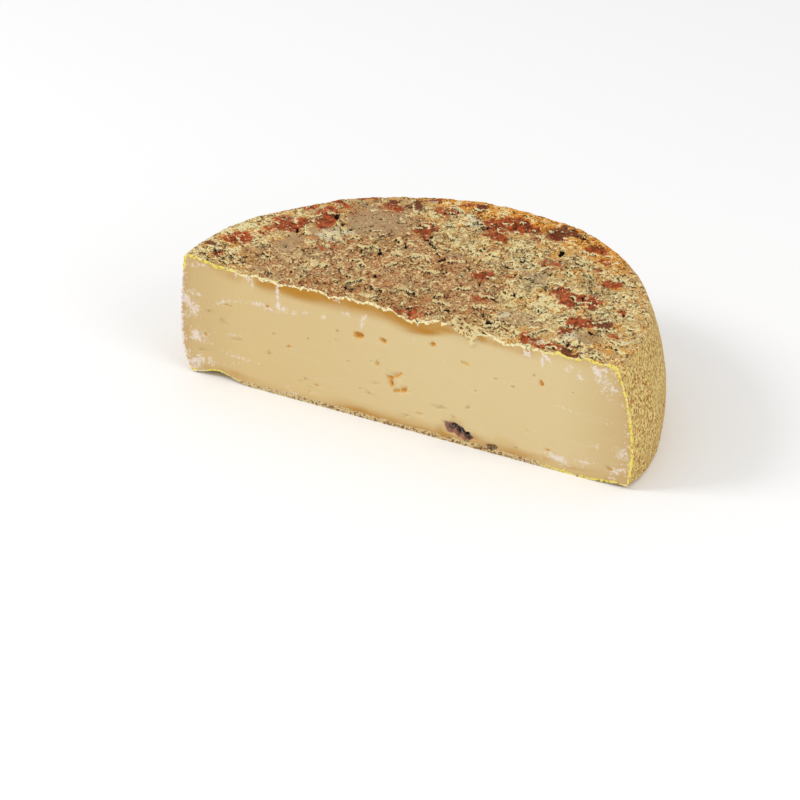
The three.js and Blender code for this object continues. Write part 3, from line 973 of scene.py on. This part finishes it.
def natural_rind(colours):
    """Cellar-ripened natural rind: dry, crumbly and quite matt, felted with moulds of many colours, with
    shade painted into its crevices, gaps and cracks.
    """
    material, tree = new_material("natural_mould_rind")
    where = add(tree, "ShaderNodeTexCoord").outputs["Object"]
    broad = pattern(tree, where, 22, 2, 0.5, 1)
    coarse = pattern(tree, where, 5, 4, 0.65, 2)
    tint = pattern(tree, where, 8, 3, 0.6, 10)
    patchy = pattern(tree, where, 4, 3, 0.65, 11)
    grain = pattern(tree, where, 1.7, 2, 0.7, 3)
    fine = pattern(tree, where, 0.8, 1, 0.6, 4)
    side = noted(tree, "side")
    red = ragged_mask(tree, "red", coarse, grain, 0.24, 0.5)
    dark_red = ragged_mask(tree, "dark", coarse, grain, 0.24, 0.5)
    taupe = ragged_mask(tree, "taupe", coarse, grain, 0.35, 0.6)
    grey = ragged_mask(tree, "grey", coarse, grain, 0.3, 0.7)
    pale = ragged_mask(tree, "pale", coarse, grain, 0.3, 0.6)
    orange = ragged_mask(tree, "orange", coarse, grain, 0.25, 0.7)

    # The ground: yellow yeasts near the rim, a taupe felt over the middle, a brushed ochre side.
    base = blend(tree, between(tree, coarse, 0.4, 0.6), colours.yellow, colours.straw)
    base = blend(tree, between(tree, tint, 0.47, 0.37), base, colours.olive, 0.6)
    base = blend(tree, between(tree, tint, 0.52, 0.62), base, colours.orange, 0.5)
    base = blend(tree, orange, base, colours.orange, 0.95)
    felt = blend(tree, between(tree, broad, 0.38, 0.62), colours.taupe, colours.umber)
    felt = blend(tree, between(tree, tint, 0.53, 0.63), felt, colours.rosy, 0.8)
    felt = blend(tree, between(tree, tint, 0.47, 0.37), felt, colours.olive, 0.7)
    base = blend(tree, taupe, base, felt)
    brushed = blend(tree, between(tree, coarse, 0.5, 0.66), colours.side, colours.side_yellow, 0.6)
    brushed = blend(tree, between(tree, tint, 0.42, 0.34), brushed, colours.side_brown, 0.4)
    brushed = blend(tree, between(tree, grain, 0.6, 0.64), brushed, colours.orange_red, 0.85)
    base = blend(tree, between(tree, side, 0.35, 0.9), base, brushed)

    # The blooms on it.
    base = blend(tree, grey, base, colours.grey, 0.75)
    ferment = blend(tree, between(tree, grain, 0.44, 0.58), colours.red, colours.orange_red)
    base = blend(tree, red, base, ferment, 0.9)
    base = blend(tree, dark_red, base, colours.dark_red, 0.9)
    base = blend(tree, pale, base, colours.pale, 0.75)

    # Crumbs catch the light and pores stay dark; both are a millimetre or two wide, and patchy.
    covered = math_of(tree, "MAXIMUM", math_of(tree, "MAXIMUM", red, dark_red), scaled(tree, grey, 0.8))
    texture = plus(tree, scaled(tree, grain, 0.5), fine, 0.5)
    speck = pattern(tree, where, 1.2, 2, 0.7, 12)
    texture = plus(tree, texture, math_of(tree, "SUBTRACT", speck, texture), scaled(tree, side, 0.85))
    uneven = plus(tree, 0.45, side, -0.33)
    dryness = swayed(tree, texture, patchy, uneven)
    dryness = plus(tree, dryness, noted(tree, "crumb"), 0.05)
    dryness = plus(tree, dryness, covered, -0.075)
    dryness = plus(tree, dryness, taupe, -0.015)
    crumb = blend(tree, taupe, colours.crumb, colours.crumb_grey)
    crumb = blend(tree, side, crumb, colours.side_yellow, 0.5)
    base = blend(tree, between(tree, dryness, 0.54, 0.57), base, crumb, 0.85)
    pores = swayed(tree, texture, coarse, -0.25)
    pores = plus(tree, pores, grey, 0.03)
    shade = blend(tree, side, colours.shade, colours.side_brown)
    base = blend(tree, between(tree, pores, 0.46, 0.43), base, shade, 0.85)

    # Where a flake's front edge stands open, a thin near-black shadow is painted in the gap, and behind it
    # there is a pale broken rim.
    level = swayed(tree, noted(tree, "level"), grain, 0.5)
    level = swayed(tree, level, fine, 0.25)
    rim = scaled(tree, between(tree, level, 0.02, 0.06), between(tree, level, 0.3, 0.16))
    rim = scaled(tree, rim, between(tree, noted(tree, "lip"), 0.15, 0.5))
    base = blend(tree, rim, base, crumb, 0.9)
    # Painted shadow: the gap under a flake's front edge goes near-black.
    gap = scaled(tree, between(tree, level, -0.1, -0.05), between(tree, level, 0.05, 0.01))
    gap = scaled(tree, gap, between(tree, noted(tree, "gap"), 0.1, 0.3))
    base = blend(tree, gap, base, colours.crevice, 0.95)
    # Painted shade: the bottoms of the deep crevices go near-black.
    deep = swayed(tree, noted(tree, "crevice"), grain, -2.0)
    base = blend(tree, between(tree, deep, 0.36, 0.55), base, colours.crevice)
    # Painted shade: the fine cracks are only drawn, as dark lines in the crevice colour, where the mesh has
    # no cut.
    crack_shade = scaled(tree, fine_cracks(tree, where), between(tree, broad, 0.52, 0.6))
    crack_shade = scaled(tree, crack_shade, scaled(tree, between(tree, coarse, 0.5, 0.56), inverse(tree, side)))
    base = blend(tree, crack_shade, base, colours.crevice, 0.85)

    # The hanging flake shows its dry, pale broken side.
    base = blend(tree, scaled(tree, noted(tree, "hanging"), between(tree, grain, 0.38, 0.55)), base,
                 colours.crumb_grey)

    height = plus(tree, grain, fine, 0.5)
    bump = add(tree, "ShaderNodeBump", {"Height": height, "Distance": 1.2 * MM, "Strength": 1.0})
    shader = add(tree, "ShaderNodeBsdfPrincipled", {
        "Base Color": base, "Normal": bump.outputs["Normal"], "Roughness": 0.85,
        "IOR": 1.45, "Specular IOR Level": 0.25})
    add(tree, "ShaderNodeOutputMaterial", {"Surface": shader.outputs["BSDF"]})
    return material


def pressed_paste(colours):
    """Pressed semi-hard paste: smooth, a little waxy and translucent, amber where it ripens first, with
    shade painted deep in its eyes and pits.
    """
    material, tree = new_material("pressed_cheese_paste")
    where = add(tree, "ShaderNodeTexCoord").outputs["Object"]
    place = add(tree, "ShaderNodeSeparateXYZ", {"Vector": where}).outputs
    broad = pattern(tree, where, 24, 2, 0.5, 5)
    coarse = pattern(tree, where, 3.6, 4, 0.7, 6)
    fine = pattern(tree, where, 1.0, 3, 0.65, 7)
    along = add(tree, "ShaderNodeMapping", {"Vector": where, "Rotation": (0, math.radians(5), 0),
                                            "Scale": (0.06, 1, 1)}).outputs["Vector"]
    dragged = pattern(tree, along, 1.6, 2, 0.5, 8)
    depth = noted(tree, "depth")
    hole = noted(tree, "hole")
    from_middle = math_of(tree, "ABSOLUTE", place["X"])

    base = blend(tree, between(tree, place["X"], -70 * MM, 30 * MM), colours.butter, colours.cream)
    base = blend(tree, between(tree, from_middle, 66 * MM, 99 * MM), base, colours.tan, 0.75)

    # The ripening front under the rind.
    uneven = swayed(tree, depth, broad, 5.0)
    near_rind = inverse(tree, between(tree, uneven, 0.4, 6.0))
    base = blend(tree, near_rind, base, colours.amber, 0.28)
    under_top = scaled(tree, between(tree, place["X"], -68 * MM, -56 * MM),
                       between(tree, place["X"], 34 * MM, 12 * MM))
    under_top = scaled(tree, under_top, between(tree, place["Z"], 24 * MM, 36 * MM))
    by_foot = scaled(tree, between(tree, place["X"], -36 * MM, -20 * MM),
                     between(tree, place["X"], 62 * MM, 40 * MM))
    by_foot = scaled(tree, scaled(tree, by_foot, between(tree, place["Z"], 24 * MM, 12 * MM)), 0.6)
    front = scaled(tree, math_of(tree, "ADD", under_top, by_foot),
                   inverse(tree, between(tree, uneven, 1.2, 8.5)))
    base = blend(tree, front, base, colours.amber, 0.9)
    ripe = swayed(tree, noted(tree, "amber"), coarse, 0.35)
    base = blend(tree, between(tree, ripe, 0.12, 1.1), base, colours.amber, 0.95)

    # The knife's faint drag marks, then smears and scrapes.
    streak = between(tree, dragged, 0.56, 0.75)
    base = blend(tree, streak, base, colours.smear, 0.09)
    bloom = scaled(tree, between(tree, from_middle, 84 * MM, 92 * MM),
                   inverse(tree, between(tree, depth, 2.0, 5.5)))
    smear = math_of(tree, "MAXIMUM", noted(tree, "smear"), scaled(tree, bloom, 0.36))
    smear = swayed(tree, smear, coarse, 1.3)
    smear = swayed(tree, smear, fine, 2.2)
    base = blend(tree, between(tree, smear, 0.3, 0.9), base, colours.smear, 0.8)

    # Inside the eyes and the rotted places, with painted shade growing darker towards their backs.
    # Painted shade: an eye's wall goes from the light eye colour to the darker deep colour as the hole
    # deepens.
    walls = blend(tree, between(tree, hole, 0.7, 1.8), colours.eye, colours.eye_deep_shade)
    base = blend(tree, between(tree, hole, 0.15, 0.6), base, walls, 0.85)
    # Painted shade: the pit's mould darkens to near-black with depth, broken up by a cloudy pattern.
    mould = blend(tree, between(tree, plus(tree, hole, coarse, -3.0), -0.25, 1.4),
                  colours.pit, colours.pit_depth_shade)
    mould = blend(tree, between(tree, fine, 0.5, 0.6), mould, colours.smear, 0.25)
    base = blend(tree, scaled(tree, noted(tree, "pit"), between(tree, hole, 0.1, 0.5)), base, mould)

    # The rind's own section: a ragged line round the face, cream, yellow at the ends, brown at the foot.
    foot = inverse(tree, between(tree, place["Z"], 1 * MM, 4 * MM))
    off_middle = math_of(tree, "ABSOLUTE", math_of(tree, "SUBTRACT", place["Z"], 26 * MM))
    left_corners = scaled(tree, between(tree, place["X"], -68 * MM, -80 * MM),
                          between(tree, off_middle, 16 * MM, 21 * MM))
    yellow = math_of(tree, "MAXIMUM", left_corners, between(tree, place["X"], 56 * MM, 72 * MM))
    foot = scaled(tree, foot, inverse(tree, yellow))
    thickness = plus(tree, fine, coarse, 5.0)
    thickness = plus(tree, thickness, foot, 1.5)
    line = between(tree, math_of(tree, "SUBTRACT", thickness, depth), 1.8, 2.2)
    white_end = between(tree, place["X"], -88 * MM, -94 * MM)
    line_colour = blend(tree, white_end, colours.cream_line, colours.smear)
    line_colour = blend(tree, scaled(tree, yellow, between(tree, coarse, 0.4, 0.5)), line_colour,
                        colours.yellow_line)
    line_colour = blend(tree, between(tree, fine, 0.46, 0.38), line_colour, colours.brown_line, 0.7)
    line_colour = blend(tree, foot, line_colour, colours.tan, 0.6)
    soiled = scaled(tree, foot, between(tree, fine, 0.5, 0.55))
    crust = blend(tree, soiled, line_colour, colours.brown_line)
    base = blend(tree, line, base, crust, 0.92)

    height = plus(tree, fine, dragged, 0.6)
    height = plus(tree, height, line, 2.0)
    bump = add(tree, "ShaderNodeBump", {"Height": height, "Distance": 0.14 * MM, "Strength": 0.6})
    shader = add(tree, "ShaderNodeBsdfPrincipled", {
        "Base Color": base, "Normal": bump.outputs["Normal"], "Roughness": 0.48, "IOR": 1.46,
        "Specular IOR Level": 0.35, "Subsurface Weight": 0.25, "Subsurface Radius": (1.0, 0.6, 0.25),
        "Subsurface Scale": 2.5 * MM})
    add(tree, "ShaderNodeOutputMaterial", {"Surface": shader.outputs["BSDF"]})
    return material


def paper(colour_value):
    """Matt studio paper: even and pale, so it only holds a soft shadow."""
    material, tree = new_material("matt_studio_paper")
    shader = add(tree, "ShaderNodeBsdfPrincipled", {"Base Color": colour_value, "Roughness": 0.95,
                                                    "Specular IOR Level": 0.1})
    add(tree, "ShaderNodeOutputMaterial", {"Surface": shader.outputs["BSDF"]})
    return material


# ---- Operators --------------------------------------------------------------------------

class CHEESE_OT_half_wheel(bpy.types.Operator):
    """Make the half wheel, with its crust, its cut face and its eyes"""

    bl_idname = "cheese.half_wheel"
    bl_label = "Half wheel"

    def execute(self, context):
        scene = context.scene
        settings = (scene.cheese_size, scene.cheese_relief, scene.cheese_cut)
        wheel = half_wheel_mesh(*map(values, settings))
        wheel.data.materials.append(natural_rind(scene.cheese_rind))
        wheel.data.materials.append(pressed_paste(scene.cheese_paste))
        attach(wheel, "root")
        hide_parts(NODE)
        return {"FINISHED"}


def soft_light(name, place, aim, width, power):
    """A square soft light that looks at a point."""
    data = bpy.data.lights.new(name, "AREA")
    data.shape = "SQUARE"
    data.size = width
    data.energy = power
    light = bpy.data.objects.new(name, data)
    light.location = place
    light.rotation_euler = (Vector(aim) - Vector(place)).to_track_quat("-Z", "Y").to_euler()
    bpy.context.scene.collection.objects.link(light)


class CHEESE_OT_stage(bpy.types.Operator):
    """Make the pale floor, the soft studio light and the camera"""

    bl_idname = "cheese.stage"
    bl_label = "Stage"

    def execute(self, context):
        scene = context.scene
        stage = scene.cheese_stage
        bm = bmesh.new()
        bmesh.ops.create_circle(bm, cap_ends=True, segments=96, radius=6.0)
        floor = object_from(bm, "floor")
        floor.data.materials.append(paper(stage.floor))

        world = bpy.data.worlds.new("even_surround")
        world.use_nodes = True
        world.node_tree.nodes["Background"].inputs["Color"].default_value = (1, 1, 1, 1)
        world.node_tree.nodes["Background"].inputs["Strength"].default_value = stage.surround
        scene.world = world
        scene.view_settings.view_transform = "Standard"
        soft_light("key", (-0.95, -0.65, 1.0), (0, 0, 0.02), 0.5, stage.key)
        soft_light("fill", (0.95, -0.35, 0.6), (0, 0, 0.02), 0.7, stage.fill)

        level = math.cos(stage.elevation)
        back = Vector((math.sin(stage.azimuth) * level, -math.cos(stage.azimuth) * level,
                       math.sin(stage.elevation)))
        right = Vector((math.cos(stage.azimuth), math.sin(stage.azimuth), 0))
        upward = back.cross(right)
        aim = Vector((0, AXIS_Y, 0)) + right * stage.look_right + upward * stage.look_up
        data = bpy.data.cameras.new("camera")
        data.lens = stage.lens
        data.sensor_width = 36
        data.clip_end = 30
        camera = bpy.data.objects.new("camera", data)
        camera.location = aim + back * stage.distance
        camera.rotation_euler = back.to_track_quat("Z", "Y").to_euler()
        scene.collection.objects.link(camera)
        scene.camera = camera
        return {"FINISHED"}


OPERATORS = (CHEESE_OT_stage, CHEESE_OT_half_wheel)


class CHEESE_PT_sidebar(bpy.types.Panel):
    """Lists what can be made, and its settings"""

    bl_idname = "CHEESE_PT_sidebar"
    bl_label = "Half cheese wheel"
    bl_space_type = "VIEW_3D"
    bl_region_type = "UI"
    bl_category = "Cheese"

    def draw(self, context):
        for operator in OPERATORS:
            self.layout.operator(operator.bl_idname)
        for group_name in GROUPS:
            group = getattr(context.scene, group_name)
            box = self.layout.box()
            box.label(text=group.bl_rna.name)
            for name in vars(values(group)):
                box.prop(group, name)


def register():
    """Registers the settings, the operators and the panel."""
    for name, group in GROUPS.items():
        bpy.utils.register_class(group)
        setattr(bpy.types.Scene, name, PointerProperty(type=group))
    for cls in (*OPERATORS, CHEESE_PT_sidebar):
        bpy.utils.register_class(cls)


def unregister():
    """Takes away what register added."""
    for cls in reversed((*OPERATORS, CHEESE_PT_sidebar)):
        bpy.utils.unregister_class(cls)
    for name, group in GROUPS.items():
        delattr(bpy.types.Scene, name)
        bpy.utils.unregister_class(group)


def main():
    register()
    bpy.ops.cheese.stage()
    bpy.ops.cheese.half_wheel()


if __name__ == "__main__":
    main()
